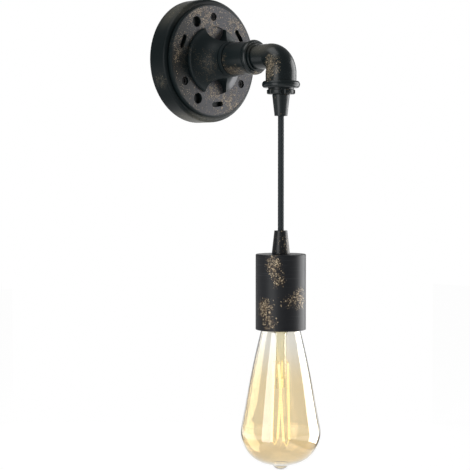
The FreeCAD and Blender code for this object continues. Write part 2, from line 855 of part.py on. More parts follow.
def cord_bend_core():
    """Copper cores at the pivot, where the cord bends in the mouth of the grip."""
    return Part.makeSphere(bend_core_radius, FreeCAD.Vector(0, -arm_reach, pivot_level))


def cord():
    """Free cord between the two grips, pulled straight by the lampholder's weight."""
    return hanging_rod(cord_radius, lower_grip_top, mouth_level)


def cord_tail():
    """Cord inside the lower grip and the hollow stem."""
    return hanging_rod(cord_radius, tail_end, lower_grip_top)


# ---- lampholder -------------------------------------------------------------------------
def lower_cord_grip():
    """Tapered grip on top of the cup, screwed on the hollow stem."""
    grip = turned_hanging([
        (cord_radius + lead_gap, lower_grip_top),
        (lower_grip_mouth_radius, lower_grip_top),
        (lower_grip_wide_radius, cup_top + grip_edge),
        (lower_grip_wide_radius - grip_edge, cup_top),
        (stem_radius + thread_gap, cup_top),
        (stem_radius + thread_gap, stem_top + slip_gap),
        (cord_radius + lead_gap, stem_top + slip_gap)])
    return grip.cut(set_screw_hole(*lower_screw_place()))


def lower_screw_place():
    """Height of the lower grip's set screw, above the hollow stem, and the radius there."""
    drop = (lower_grip_length - grip_thread_depth) / 2
    slope = (lower_grip_wide_radius - lower_grip_mouth_radius) / lower_grip_length
    return lower_grip_top - drop, lower_grip_mouth_radius + slope * drop


def lower_grip_screw():
    """Set screw of the lower grip."""
    return set_screw(*lower_screw_place())


def lampholder_cup():
    """Turned metal cup over the lampholder, open below."""
    inner = cup_radius - cup_wall
    hole = stem_radius + screw_hole_gap
    top_inset = round_inset * cup_top_edge
    rim_inset = round_inset * cup_rim_edge
    return turned_hanging([
        (hole, cup_top),
        (cup_radius - cup_top_edge, cup_top),
        ((cup_radius - top_inset, cup_top - top_inset),
         (cup_radius, cup_top - cup_top_edge)),
        (cup_radius, cup_bottom + cup_rim_edge),
        ((cup_radius - rim_inset, cup_bottom + rim_inset),
         (cup_radius - cup_rim_edge, cup_bottom)),
        (inner, cup_bottom),
        (inner, cup_ceiling),
        (hole, cup_ceiling)])


def hollow_stem():
    """M10 hollow stem through the cup: grip above, nut and lampholder below."""
    stem = hanging_rod(stem_radius, stem_bottom, stem_top)
    return stem.cut(hanging_rod(stem_bore, stem_bottom, stem_top))


def cup_nut():
    """Hexagon nut that clamps the cup to the grip."""
    nut = hexagon(cup_nut_flats, -cup_nut_height, 0,
                  FreeCAD.Vector(0, -arm_reach, cup_ceiling), up_axis)
    return nut.cut(hanging_rod(stem_radius + thread_gap, cup_nut_bottom, cup_ceiling))


def holder_dome():
    """Insulating upper half of the lampholder, screwed on the stem."""
    neck_bottom = dome_top - dome_neck_height
    inner = dome_radius - dome_wall
    return turned_hanging([
        (stem_radius + thread_gap, dome_top),
        (dome_neck_radius, dome_top),
        (dome_neck_radius, neck_bottom),
        (dome_radius, neck_bottom - dome_neck_height),
        (dome_radius, dome_bottom),
        (inner, dome_bottom),
        (inner, neck_bottom - dome_neck_height - dome_wall / 2),
        (dome_neck_radius, neck_bottom - dome_wall),
        (stem_radius + thread_gap, neck_bottom - dome_wall)])


def holder_places():
    """X positions of the two terminal screws in the lampholder."""
    return [-holder_screw_spread / 2, holder_screw_spread / 2]


def holder_base():
    """Insulating disc that carries the contacts."""
    disc = hanging_rod(shell_inner_radius + shell_wall, base_bottom, dome_bottom)
    disc = disc.fuse(hanging_rod(dome_radius - dome_wall - slip_gap, dome_bottom, base_top))
    for x in holder_places():
        hole = hanging_rod(holder_screw_radius + thread_gap, base_bottom, base_top, x)
        disc = disc.cut(hole)
    return disc.cut(hanging_rod(contact_pin_radius + thread_gap, base_bottom, base_top))


def holder_skirt():
    """Insulating lower half of the lampholder, round the screw shell."""
    inner = skirt_radius - skirt_wall
    tube = hanging_rod(skirt_radius, skirt_bottom, dome_bottom)
    tube = tube.cut(hanging_rod(inner, skirt_bottom, dome_bottom))
    ledge_bottom = shell_bottom - shell_ledge
    ledge = hanging_rod(inner, ledge_bottom, shell_bottom)
    ledge = ledge.cut(hanging_rod(shell_inner_radius, ledge_bottom, shell_bottom))
    return tube.fuse(ledge)


def screw_shell():
    """Thin metal sleeve that the bulb's cap screws into."""
    tube = hanging_rod(shell_inner_radius + shell_wall, shell_bottom, shell_top)
    return tube.cut(hanging_rod(shell_inner_radius, shell_bottom, shell_top))


def centre_contact():
    """Sprung strip under the base that meets the bulb's centre contact."""
    low = cap_tip + slip_gap
    strip = FreeCAD.Vector(-contact_span / 2, -arm_reach - contact_width / 2, low)
    tongue = Part.makeBox(contact_span, contact_width, contact_thick, strip)
    return tongue.fuse(hanging_rod(contact_pin_radius, low, base_top + contact_thick))


def side_contact():
    """Strap from a terminal screw to the rim of the screw shell."""
    x = holder_places()[1]
    strap = FreeCAD.Vector(x - side_strap_length / 2, -arm_reach - contact_width / 2, base_top)
    plate = Part.makeBox(side_strap_length, contact_width, contact_thick, strap)
    top = base_top + contact_thick
    return plate.cut(hanging_rod(holder_screw_radius + thread_gap, base_top, top, x))


def holder_screws():
    """Two terminal screws through the lampholder's base."""
    screws = []
    level = base_top + contact_thick
    for x in holder_places():
        shank = hanging_rod(holder_screw_radius, base_bottom + thread_gap, level, x)
        head = hanging_rod(holder_head_radius, level, level + holder_head_height, x)
        screws.append(shank.fuse(head))
    return Part.makeCompound(screws)


def holder_tail(index):
    """Conductor from the cord's lower end to a terminal screw of the lampholder."""
    x = holder_places()[index]
    start_x = math.copysign(core_spread, x)
    level = base_top + contact_thick + tail_radius
    beside = x - math.copysign(holder_head_radius + tail_radius, x)
    return wire_run([
        FreeCAD.Vector(start_x, -arm_reach, tail_end),
        FreeCAD.Vector(start_x, -arm_reach, tail_end - tail_drop),
        FreeCAD.Vector(beside, -arm_reach, level + tail_drop),
        FreeCAD.Vector(beside, -arm_reach, level)], tail_radius)


# ---- bulb -------------------------------------------------------------------------------
def glass_points():
    """Outer outline of the glass as (radius, height), from the shoulder under the cap to
    the exhaust tip: a long flank, a round belly and a flat bowl."""
    return [
        (shoulder_radius, cap_rim - shoulder_drop),
        (upper_flank_radius, cap_rim - upper_flank_drop),
        (lower_flank_radius, cap_rim - lower_flank_drop),
        (hip_radius, belly_level + hip_rise),
        (bulb_radius, belly_level),
        (bowl_radius, belly_level - bowl_drop),
        (heel_radius, belly_level - heel_drop),
        (toe_radius, belly_level - toe_drop),
        (tip_radius, bulb_tip + tip_height)]


def glass_curve(points):
    """Smooth curve through points of (radius, height)."""
    curve = Part.BSplineCurve()
    curve.interpolate([on_hanging_plane(*point) for point in points])
    return curve


def inset_points(points, distance):
    """The same points moved into the glass, square to the curve through them."""
    curve = glass_curve(points)
    moved = []
    for radius, level in points:
        along = curve.tangent(curve.parameter(on_hanging_plane(radius, level)))[0]
        moved.append((radius + distance * along.z, level - distance * along.x))
    return moved


def glass_edges(points, neck, pole):
    """Edges of one side of the glass: neck, round shoulder, flank and bowl, exhaust tip."""
    neck_top = on_hanging_plane(neck, cap_rim + neck_overlap)
    neck_end = on_hanging_plane(neck, cap_rim - slip_gap)
    reach = points[0][0] - neck
    drop = neck_end.z - points[0][1]
    shoulder = on_hanging_plane(neck + reach * (1 - round_inset), neck_end.z - drop * round_inset)
    tip, end = dome_arc(points[-1][0], points[-1][1], pole)
    return [
        Part.LineSegment(neck_top, neck_end).toShape(),
        Part.Arc(neck_end, shoulder, on_hanging_plane(*points[0])).toShape(),
        glass_curve(points).toShape(),
        Part.Arc(on_hanging_plane(*points[-1]), on_hanging_plane(*tip),
                 on_hanging_plane(*end)).toShape()]


def glass_envelope():
    """Blown glass of one even wall, with the sealed exhaust tip, open inside the cap."""
    outer = glass_points()
    inner = inset_points(outer, glass_wall)
    inner_neck = neck_radius - glass_wall
    inner_pole = bulb_tip + glass_wall
    neck_top = cap_rim + neck_overlap
    mouth = Part.LineSegment(on_hanging_plane(inner_neck, neck_top),
                             on_hanging_plane(neck_radius, neck_top)).toShape()
    pole = Part.LineSegment(on_hanging_plane(0, bulb_tip),
                            on_hanging_plane(0, inner_pole)).toShape()
    edges = glass_edges(outer, neck_radius, bulb_tip) + glass_edges(inner, inner_neck, inner_pole)
    wire = Part.Wire(Part.__sortEdges__(edges + [mouth, pole]))
    return Part.Face(wire).revolve(hang_point, up_axis, 360)


def cap_shell():
    """Thin screw cap, its thread drawn as evenly spaced rounded ridges."""
    half = cap_thread_pitch / 2
    neck_seat = neck_radius + thread_gap
    neck_end = cap_rim + neck_overlap + thread_gap
    outline = [
        (neck_seat, cap_rim),
        (cap_radius, cap_rim),
        (cap_radius, thread_bottom - cap_thread_runout),
        (cap_root_radius, thread_bottom)]
    for i in range(cap_threads):
        level = thread_bottom + i * cap_thread_pitch
        ridge_end = (cap_root_radius, level + cap_thread_pitch)
        outline.append(((cap_radius, level + half), ridge_end))
    outline += [
        (cap_shoulder_radius, shoulder_top),
        (cap_shoulder_radius - cap_wall, shoulder_top),
        (cap_inner_radius, thread_top - cap_wall),
        (cap_inner_radius, neck_end),
        (neck_seat, neck_end)]
    return turned_hanging(outline)


def cap_insulator():
    """Black glass cone between the cap's shell and its centre contact."""
    return turned_hanging([
        (0, shoulder_top),
        (cap_shoulder_radius, shoulder_top),
        (cap_insulator_radius, insulator_top),
        (0, insulator_top)])


def cap_contact():
    """Soldered centre contact of the bulb."""
    radius = cap_insulator_radius - cap_wall
    return turned_hanging([
        (0, insulator_top),
        (radius, insulator_top),
        dome_arc(radius, insulator_top, cap_tip)])


def stem_glass():
    """Glass stem: a flare sealed to the neck, a tube, and the flat pinch at its end."""
    rim = cap_rim + stem_flare_height
    narrow = cap_rim - stem_flare_drop
    middle = cap_rim - stem_flare_middle
    flare = neck_radius - glass_wall - thread_gap
    inner = stem_tube_radius - stem_tube_wall
    bow = stem_tube_radius + stem_flare_bow
    tube = turned_hanging([
        (flare - stem_tube_wall, rim),
        (flare, rim),
        ((bow, middle), (stem_tube_radius, narrow)),
        (stem_tube_radius, stem_tube_bottom),
        (inner, stem_tube_bottom),
        (inner, narrow),
        ((bow - stem_tube_wall, middle + stem_tube_wall), (flare - stem_tube_wall, rim))])
    corner = FreeCAD.Vector(-stem_tube_radius, -arm_reach - stem_pinch_thick / 2,
                            stem_tube_bottom - stem_pinch_length)
    pinch = Part.makeBox(2 * stem_tube_radius, stem_pinch_thick, stem_pinch_length, corner)
    return tube.fuse(pinch)


def filament_ends():
    """Top and bottom points of each filament, round a slightly twisted cage."""
    ends = []
    for i in range(filament_count):
        turn = math.radians(filament_first_angle + 360 * i / filament_count)
        after = turn + math.radians(filament_twist)
        top = FreeCAD.Vector(filament_top_radius * math.cos(turn),
                             filament_top_radius * math.sin(turn) - arm_reach, filament_top)
        bottom = FreeCAD.Vector(filament_bottom_radius * math.cos(after),
                                filament_bottom_radius * math.sin(after) - arm_reach,
                                filament_bottom)
        ends.append((top, bottom))
    return ends


def filaments():
    """Straight light-emitting filaments of the cage."""
    strips = [rod(top, bottom, filament_radius) for top, bottom in filament_ends()]
    return Part.makeCompound(strips)


def support_wires():
    """Lead wires from the pinch to the filaments' tops, and hooks that join their feet."""
    ends = filament_ends()
    wires = []
    for top in [pair[0] for pair in ends]:
        inward = FreeCAD.Vector(-top.x, -arm_reach - top.y, 0)
        inward.normalize()
        lift = top + up_axis * wire_rise
        near = lift + inward * (filament_top_radius - stem_tube_radius - thread_gap)
        wires.append(wire_run([top, lift, near], wire_radius))
    for first, second in ((0, 1), (2, 3)):
        start = ends[first][1]
        end = ends[second][1]
        middle = (start + end) / 2 - up_axis * hook_drop
        wires.append(wire_run([start, middle, end], wire_radius))
    strips = filaments()
    return Part.makeCompound([wire.cut(strips) for wire in wires])


def driver_board():
    """Round driver board inside the cap, with its reservoir capacitor."""
    top = thread_top - driver_drop
    bottom = top - driver_thick
    board = hanging_rod(cap_inner_radius - thread_gap, bottom, top)
    capacitor = hanging_rod(capacitor_radius, bottom - capacitor_length, bottom, capacitor_offset)
    return board.fuse(capacitor)


# ---- nodes ------------------------------------------------------------------------------
nodes = {
    "mounting_plate": mounting_plate(),
    "threaded_posts": threaded_posts(),
    "canopy": canopy(),
    "wall_flange": wall_flange(),
    "cover_screws": cover_screws(),
    "terminal_block": terminal_block(),
    "terminal_tubes": terminal_tubes(),
    "clamp_screws": clamp_screws(),
    "block_screw": block_screw(),
    "earth_screw": earth_screw(),
    "earth_tag": earth_tag(),
    "live_conductor": conductor(0),
    "neutral_conductor": conductor(block_poles - 1),
    "earth_conductor": earth_conductor(),
    "arm_nipple": arm_nipple(),
    "rear_washer": rear_washer(),
    "rear_locknut": rear_locknut(),
    "coupling_sleeve": coupling_sleeve(),
    "elbow": elbow(),
    "castellated_bush": castellated_bush(),
    "upper_cord_grip": upper_cord_grip(),
    "upper_grip_screw": upper_grip_screw(),
    "inner_lead": inner_lead(),
    "cord_bend_core": cord_bend_core(),
    "cord": cord(),
    "cord_tail": cord_tail(),
    "lower_cord_grip": lower_cord_grip(),
    "lower_grip_screw": lower_grip_screw(),
    "lampholder_cup": lampholder_cup(),
    "hollow_stem": hollow_stem(),
    "cup_nut": cup_nut(),
    "holder_dome": holder_dome(),
    "holder_base": holder_base(),
    "holder_skirt": holder_skirt(),
    "screw_shell": screw_shell(),
    "centre_contact": centre_contact(),
    "side_contact": side_contact(),
    "holder_screws": holder_screws(),
    "live_tail": holder_tail(0),
    "neutral_tail": holder_tail(1),
    "cap_shell": cap_shell(),
    "cap_insulator": cap_insulator(),
    "cap_contact": cap_contact(),
    "driver_board": driver_board(),
    "glass_envelope": glass_envelope(),
    "stem_glass": stem_glass(),
    "support_wires": support_wires(),
    "filaments": filaments(),
}

os.makedirs("parts", exist_ok=True)
for name, shape in nodes.items():
    shape.exportStep("parts/" + name + ".step")
    print(name, shape.isValid(), len(shape.Solids), round(shape.Volume, 1))
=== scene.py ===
import math

import bpy
import numpy as np
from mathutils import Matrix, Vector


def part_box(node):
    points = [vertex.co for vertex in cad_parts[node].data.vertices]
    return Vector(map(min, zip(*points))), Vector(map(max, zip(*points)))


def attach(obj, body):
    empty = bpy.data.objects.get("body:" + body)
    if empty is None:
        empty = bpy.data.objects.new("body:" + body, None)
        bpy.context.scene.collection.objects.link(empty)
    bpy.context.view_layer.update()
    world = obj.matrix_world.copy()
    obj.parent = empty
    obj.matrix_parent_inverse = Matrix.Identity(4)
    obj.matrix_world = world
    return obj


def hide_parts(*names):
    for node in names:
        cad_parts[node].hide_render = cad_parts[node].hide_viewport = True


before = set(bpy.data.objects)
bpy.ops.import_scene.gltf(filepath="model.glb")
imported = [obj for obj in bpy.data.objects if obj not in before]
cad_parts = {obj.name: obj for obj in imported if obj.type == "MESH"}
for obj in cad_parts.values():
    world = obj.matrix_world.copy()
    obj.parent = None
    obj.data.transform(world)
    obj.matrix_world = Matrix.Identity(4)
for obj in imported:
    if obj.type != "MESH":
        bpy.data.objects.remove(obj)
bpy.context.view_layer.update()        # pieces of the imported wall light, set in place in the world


# ---- Mounting plate and its posts ------------------------------------------------------------
# The disc that is screwed to the wall, with three threaded posts riveted to it, and the nuts
# and washers behind the arm.  Zinc plated steel: cool grey with a faint spangle.

class Shade:
    """A number or colour that varies over a surface.  Arithmetic on it adds the Math node that
    works it out, so that a pattern reads as a formula."""

    def __init__(self, finish, socket):
        self.finish = finish
        self.socket = socket

    def math(self, operation, other, swapped=False):
        """An operation on this and another value or, swapped, on the other and this."""
        values = (other, self) if swapped else (self, other)
        return self.finish.node("Math", {"operation": operation}, {0: values[0], 1: values[1]})

    def __add__(self, other):
        return self.math("ADD", other)

    def __sub__(self, other):
        return self.math("SUBTRACT", other)

    def __rsub__(self, other):
        return self.math("SUBTRACT", other, swapped=True)

    def __mul__(self, other):
        return self.math("MULTIPLY", other)

    def __lt__(self, other):
        return self.math("LESS_THAN", other)

    def __or__(self, other):
        """The larger of the two."""
        return self.math("MAXIMUM", other)

    __radd__ = __add__
    __rmul__ = __mul__

    def ramp(self, low, high):
        """0 at low and 1 at high, with a smooth step between them."""
        span = {"Value": self, "From Min": low, "From Max": high}
        return self.finish.node("MapRange", {"interpolation_type": "SMOOTHSTEP"}, span)

    def beside(self, name):
        """Another output of the same node."""
        return Shade(self.finish, self.socket.node.outputs[name])

    def part(self, name):
        """One component, X, Y or Z, of a vector or colour."""
        return self.finish.node("SeparateXYZ", {}, {"Vector": self}, name)


class Finish:
    """The node tree of one material, world or, where its kind is given, lamp."""

    def __init__(self, name, blocks=bpy.data.materials, *kind):
        self.block = blocks.new(name, *kind)
        self.block.use_nodes = True
        self.tree = self.block.node_tree
        self.tree.nodes.clear()

    def node(self, kind, settings, sockets, output=None):
        """Adds a node: first its settings, then the values or links of its sockets, which are
        named, or numbered among those in use.  Returns the output asked for, or the first."""
        made = self.tree.nodes.new("ShaderNode" + kind)
        for name, value in settings.items():
            setattr(made, name, value)
        used = [socket for socket in made.inputs if socket.enabled]
        for key, value in sockets.items():
            socket = used[key] if isinstance(key, int) else next(s for s in used if s.name == key)
            if isinstance(value, Shade):
                self.tree.links.new(value.socket, socket)
            else:
                socket.default_value = value
        given = [s for s in made.outputs if s.enabled and output in (None, s.name)]
        return Shade(self, given[0]) if given else None

    def place(self):
        """Where a point of the surface is in the wall light's own frame, in metres."""
        return self.node("TexCoord", {}, {}, "Object")

    def mix(self, low, high, share):
        """The colour low where share is 0, and high where it is 1."""
        return self.node("Mix", {"data_type": "RGBA"}, {"Factor": share, "A": low, "B": high})

    def raised(self, height, depth):
        """The normal of the surface raised by height, from 0 to 1, times depth in metres."""
        return self.node("Bump", {}, {"Strength": 1.0, "Distance": depth, "Height": height})

    def surface(self, **sockets):
        """Ends a material: the sockets of its shader, in words joined by underscores."""
        named = {name.replace("_", " "): value for name, value in sockets.items()}
        shader = self.node("BsdfPrincipled", {}, named)
        self.node("OutputMaterial", {}, {"Surface": shader})


def seen(red, green, blue):
    """A colour as it looks, 0 to 255 each, as the linear light that a shader works in: the sRGB
    curve turned round."""
    shares = np.array([red, green, blue]) / 255
    return (*np.where(shares > 0.04, ((shares + 0.055) / 1.055) ** 2.4, shares / 12.92), 1.0)


def grain(finish, size, detail=2.0, stretch=(1, 1, 1)):
    """Noise from 0 to 1 with lumps about size metres across, drawn out along an axis where
    stretch is over 1."""
    scale = tuple(1 / (size * share) for share in stretch)
    place = finish.node("VectorMath", {"operation": "MULTIPLY"}, {0: finish.place(), 1: scale})
    return finish.node("TexNoise", {}, {"Vector": place, "Scale": 1.0, "Detail": detail})


def plated(name, bright, dull, roughness):
    """Plated metal: spangle between two tones, and fine scratches that change its gloss."""
    finish = Finish(name)
    spangle = grain(finish, 0.0025, 3.0).ramp(0.3, 0.7)
    scratch = grain(finish, 0.0002, 2.0, (1, 1, 12))
    finish.surface(Base_Color=finish.mix(bright, dull, spangle), Metallic=1.0,
                   Roughness=roughness + 0.12 * scratch,
                   Normal=finish.raised(scratch, 0.00002))
    return finish


def dress(finish, *names):
    """Gives that finish to pieces of the frame."""
    for name in names:
        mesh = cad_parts[name].data
        mesh.materials.clear()
        mesh.materials.append(finish.block)


dress(plated("zinc_plate", seen(196, 198, 196), seen(158, 160, 160), 0.3),
      "mounting_plate", "threaded_posts", "rear_washer", "rear_locknut", "arm_nipple",
      "clamp_screws", "block_screw", "earth_screw")


# ---- Wiring in the canopy --------------------------------------------------------------------
# A three pole terminal block of moulded polyamide with brass tubes, the cord's two conductors
# that go into it, and the earth wire with its crimped tag.

def moulded(name, colour, shaded, roughness):
    """Moulded or extruded plastic: two close tones and a fine even texture."""
    finish = Finish(name)
    tone = grain(finish, 0.003)
    finish.surface(Base_Color=finish.mix(colour, shaded, tone), Roughness=roughness + 0.1 * tone,
                   Normal=finish.raised(grain(finish, 0.0004), 0.00002))
    return finish


dress(moulded("block_nylon", seen(228, 226, 216), seen(214, 211, 198), 0.45), "terminal_block")
dress(moulded("brown_sleeve", seen(112, 66, 40), seen(96, 54, 32), 0.4),
      "live_conductor", "live_tail")
dress(moulded("blue_sleeve", seen(48, 98, 178), seen(38, 82, 158), 0.4),
      "neutral_conductor", "neutral_tail")
dress(plated("bright_brass", seen(214, 178, 102), seen(186, 148, 78), 0.25),
      "terminal_tubes", "earth_tag")

EARTH_STRIPE = 0.0008            # width of a green or yellow band of the earth wire
striped = Finish("striped_sleeve")
band = striped.place().part("Y").math("PINGPONG", EARTH_STRIPE)
yellow = band.ramp(EARTH_STRIPE * 0.45, EARTH_STRIPE * 0.55)
striped.surface(Base_Color=striped.mix(seen(46, 128, 62), seen(226, 206, 60), yellow),
                Roughness=0.4, Normal=striped.raised(grain(striped, 0.0004), 0.00002))
dress(striped, "earth_conductor")


# ---- Canopy ----------------------------------------------------------------------------------
# A shallow drum drawn from sheet steel that hides the plate and the wiring.  It is painted satin
# black over bronze and rubbed back by hand, so that bronze flecks show in uneven patches.

BLACK = seen(17, 27, 29)
SMOKE = seen(50, 45, 38)         # black where it is thin over the bronze
DARK_BRONZE = seen(120, 98, 74)
PALE_BRONZE = seen(246, 226, 190)
SCRATCH_GREY = seen(66, 68, 72)  # of fine turning lines in the paint
WEAR_CLOUD = 0.0028              # size of the clouds in which the paint is worn
CAST_LUMP = 0.0009
COARSE_FLECK = 0.00090           # space that a large fleck has
FINE_FLECK = 0.00055
FLECK_STRAY = 0.9                # how far noise bends its outline, as a share of its space
FLECK_EDGE = (0.52, 0.42)        # where it fades in, as shares of its space from its middle
SHINE = 0.32                     # of the paint, where 0.5 is plain gloss paint


def dab(finish, centre, radii):
    """1 at a centre, falling smoothly to 0 at the radii of an ellipsoid round it."""
    away = finish.node("VectorMath", {"operation": "SUBTRACT"}, {0: finish.place(), 1: centre})
    shares = finish.node("VectorMath", {"operation": "DIVIDE"}, {0: away, 1: radii})
    return finish.node("VectorMath", {"operation": "LENGTH"}, {0: shares}, "Value").ramp(1.0, 0.0)


def flecks(finish, share, size):
    """Irregular flecks in scattered cells of about that size.  A cell is bare where its random
    number is under share, and holds a dark pit where the number is as near to 1.  Returns the
    flecks, a second random number of each, and the pits."""
    wander = finish.node("TexNoise", {}, {"Vector": finish.place(), "Scale": 1.2 / size}, "Color")
    place = finish.node("VectorMath", {"operation": "MULTIPLY_ADD"},
                        {0: wander, 1: (size * FLECK_STRAY,) * 3, 2: finish.place()})
    cells = finish.node("TexVoronoi", {}, {"Vector": place, "Scale": 1 / size}, "Color")
    draw = cells.part("X")
    inside = cells.beside("Distance").ramp(*FLECK_EDGE)
    return (draw < share) * inside, cells.part("Y"), (1.0 - draw < share) * inside


def antique(name, dabs, veils_and_painted_light=(), thin=0.0, black=BLACK, haze_and_painted_light=SMOKE, clear=0.8, cast=0.00002,
            gloss=0.34, shine=SHINE, brushed=None):
    """Satin black paint rubbed back to bronze.  Each dab is a centre, its radii and the share
    of the surface that is bare there, and thin is the share that is bare everywhere.  haze is
    the paint's colour where it is worn but not through, there and in the veils, which are given
    as dabs are.  Some veils are paint worn thin and some are painted light, lighter patches in
    that colour where light falls.  clear is how clear the flecks are, cast the depth of the
    surface's lumps, gloss the paint's roughness, and brushed the pitch of its turning lines."""
    finish = Finish(name)
    cloud = grain(finish, WEAR_CLOUD, 3.0)
    patchy = 0.25 + 0.75 * cloud.ramp(0.38, 0.60)
    share = cloud * thin
    for centre, radii, strength in dabs:
        share = share + dab(finish, centre, radii) * patchy * strength
    coarse, coarse_tone, pits = flecks(finish, share, COARSE_FLECK)
    fine, fine_tone, fine_pits = flecks(finish, share * 0.9, FINE_FLECK)
    bare = (coarse | fine * 0.8) * clear
    tone = coarse * coarse_tone | fine * fine_tone * 0.6
    veil_and_painted_light_share = share.ramp(0.0, 0.6)
    for centre, radii, strength in veils_and_painted_light:
        veil_and_painted_light_share = veil_and_painted_light_share | dab(finish, centre, radii) * strength
    ground = finish.mix(finish.mix(black, haze_and_painted_light, veil_and_painted_light_share), black, (pits | fine_pits) * 0.8)
    if brushed:
        lumps = grain(finish, brushed, 1.0, (60, 60, 1))
        ground = finish.mix(ground, SCRATCH_GREY, lumps.ramp(0.60, 0.78) * 0.45)
    else:
        lumps = grain(finish, CAST_LUMP, 3.0)
    bronze = finish.mix(DARK_BRONZE, PALE_BRONZE, tone)
    finish.surface(Base_Color=finish.mix(ground, bronze, bare), Metallic=bare * 0.25,
                   Specular_IOR_Level=shine, Roughness=gloss + 0.12 * (lumps - 0.5),
                   Normal=finish.raised(lumps + bare * 0.5, cast))
    return finish


CANOPY_DABS = [((-0.0476, -0.009, -0.019), (0.006, 0.010, 0.012), 0.35),
               ((-0.016, -0.008, -0.049), (0.030, 0.016, 0.010), 0.4),
               ((-0.030, -0.008, 0.041), (0.022, 0.014, 0.018), 0.4),
               ((0.045, -0.008, 0.024), (0.012, 0.012, 0.014), 0.4)]
# The canopy's veils are painted light in its olive colour: lighter on the top left, where light
# from above falls, and on the bottom, where light comes up from the floor.
CANOPY_PAINTED_LIGHT = [((-0.012, -0.009, -0.050), (0.032, 0.020, 0.013), 1.5),
                ((-0.030, -0.009, 0.041), (0.030, 0.016, 0.026), 0.8)]
dress(antique("canopy_paint", CANOPY_DABS, CANOPY_PAINTED_LIGHT, black=seen(11, 21, 23),
              haze_and_painted_light=seen(88, 88, 80), clear=0.2, gloss=0.40, shine=0.16), "canopy")


# ---- Wall flange and its screws --------------------------------------------------------------
# A cast iron flange with a bell boss that carries the arm.  The finish is rubbed back most on the
# flat face, which is dusted all over with bronze, and stays nearly black on the boss.

FACE_Y = -0.0213                 # of the flat face; the floors of its pockets lie 1 mm behind
FACE_RADIUS = 0.0458             # where the face rounds over into its rim
FACE_GREY = seen(84, 84, 88)
FACE_PAINTED_SHADE = seen(52, 52, 50)    # the same, darkened towards -X as painted shade
FACE_TAN = seen(214, 194, 164)
# FLANK_HIGHLIGHT_GREY below is the grey of a painted highlight on the boss's flank.
FLANK_HIGHLIGHT_GREY = seen(118, 119, 122)
FACE_DUST = 0.07                 # share that is bare all over the face
FLANGE_DABS = [((-0.036, -0.021, 0.006), (0.016, 0.010, 0.020), 0.54),
               ((-0.014, -0.021, 0.036), (0.020, 0.010, 0.014), 0.63),
               ((0.026, -0.021, 0.028), (0.018, 0.010, 0.016), 0.54),
               ((0.020, -0.021, -0.034), (0.024, 0.010, 0.018), 0.63),
               ((0.0, -0.021, 0.0265), (0.010, 0.004, 0.010), 0.9),
               ((0.0, -0.021, -0.0265), (0.010, 0.004, 0.010), 0.9),
               ((-0.015, -0.031, -0.005), (0.015, 0.013, 0.018), 0.72)]
BOSS_SHADOW_DAB = (-0.025, -0.021, 0.0), (0.020, 0.020, 0.026)       # painted shadow of the boss, on the face beside it
FLANK_HIGHLIGHT_DAB = (0.021, -0.026, -0.018), (0.012, 0.010, 0.012)    # painted highlight on the boss's lower right flank, by a pocket

# The face is all that lies in its plane or behind it and is turned away from the wall.  It has worn
# to grey, but for its rim; the walls of holes and pockets stay black as painted shade in those
# recesses, and one dab beside the boss stays black as a painted shadow of the boss.
flange = Finish("flange_paint")
faces_out = flange.node("TexCoord", {}, {}, "Normal").part("Y").ramp(-0.80, -0.95)
on_face = flange.place().part("Y").ramp(FACE_Y - 0.0012, FACE_Y - 0.0001) * faces_out
flat = flange.node("VectorMath", {"operation": "MULTIPLY"}, {0: flange.place(), 1: (1, 0, 1)})
within_rim = flange.node("VectorMath", {"operation": "LENGTH"}, {0: flat}, "Value").ramp(
    FACE_RADIUS, FACE_RADIUS - 0.0006)
# A painted shadow that the boss casts to its left on the face.
painted_boss_shadow = dab(flange, *BOSS_SHADOW_DAB).ramp(0.1, 0.5)
worn_grey_outside_painted_shade = on_face * within_rim * (1.0 - painted_boss_shadow)
# Painted shade: the face goes darker towards -X, the side away from the light.
face = flange.mix(FACE_PAINTED_SHADE, FACE_GREY, flange.place().part("X").ramp(-0.044, 0.004))

cloud = grain(flange, 0.0040, 3.0)
patches = cloud.ramp(0.34, 0.64)
dust = FACE_DUST * cloud * on_face
for centre, radii, strength in FLANGE_DABS:
    dust = dust + dab(flange, centre, radii) * patches * strength
coarse, coarse_tone, pits = flecks(flange, dust * 0.9, COARSE_FLECK)
fine, fine_tone, fine_pits = flecks(flange, dust * 1.6, FINE_FLECK)
flecked = coarse * 0.8 | fine
bronze = flange.mix(DARK_BRONZE, FACE_TAN, coarse * coarse_tone | fine * fine_tone * 0.8)

ground = flange.mix(flange.mix(BLACK, face, worn_grey_outside_painted_shade), BLACK, (pits | fine_pits) * 0.6)
# A painted highlight: lighter grey on the boss's lower right flank, where light from below right
# falls.
painted_flank_highlight = dab(flange, *FLANK_HIGHLIGHT_DAB).ramp(0.0, 0.6) * (1.0 - on_face)
ground = flange.mix(ground, FLANK_HIGHLIGHT_GREY, painted_flank_highlight)
cast_skin = grain(flange, 0.0007, 3.0)
flange.surface(
    Base_Color=flange.mix(ground, bronze, flecked * (0.16 + 0.64 * worn_grey_outside_painted_shade)),
    Roughness=0.50 - 0.14 * on_face + 0.14 * (cast_skin - 0.5), Specular_IOR_Level=0.2,
    Normal=flange.raised(cast_skin + flecked * 0.4, 0.00004))
dress(flange, "wall_flange")

screw = Finish("black_screw")
scuffs = grain(screw, 0.0008, 3.0)
screw.surface(Base_Color=screw.mix(seen(6, 8, 10), seen(20, 22, 24), scuffs.ramp(0.4, 0.7)),
              Roughness=0.25 + 0.1 * scuffs, Specular_IOR_Level=0.1,
              Normal=screw.raised(scuffs, 0.00002))
dress(screw, "cover_screws", "upper_grip_screw", "lower_grip_screw")


# ---- Pipe arm --------------------------------------------------------------------------------
# A turned coupling, an elbow with a bead at each end, and a castellated bush: cast and turned
# iron with the same black finish, rubbed through most low on the sides.

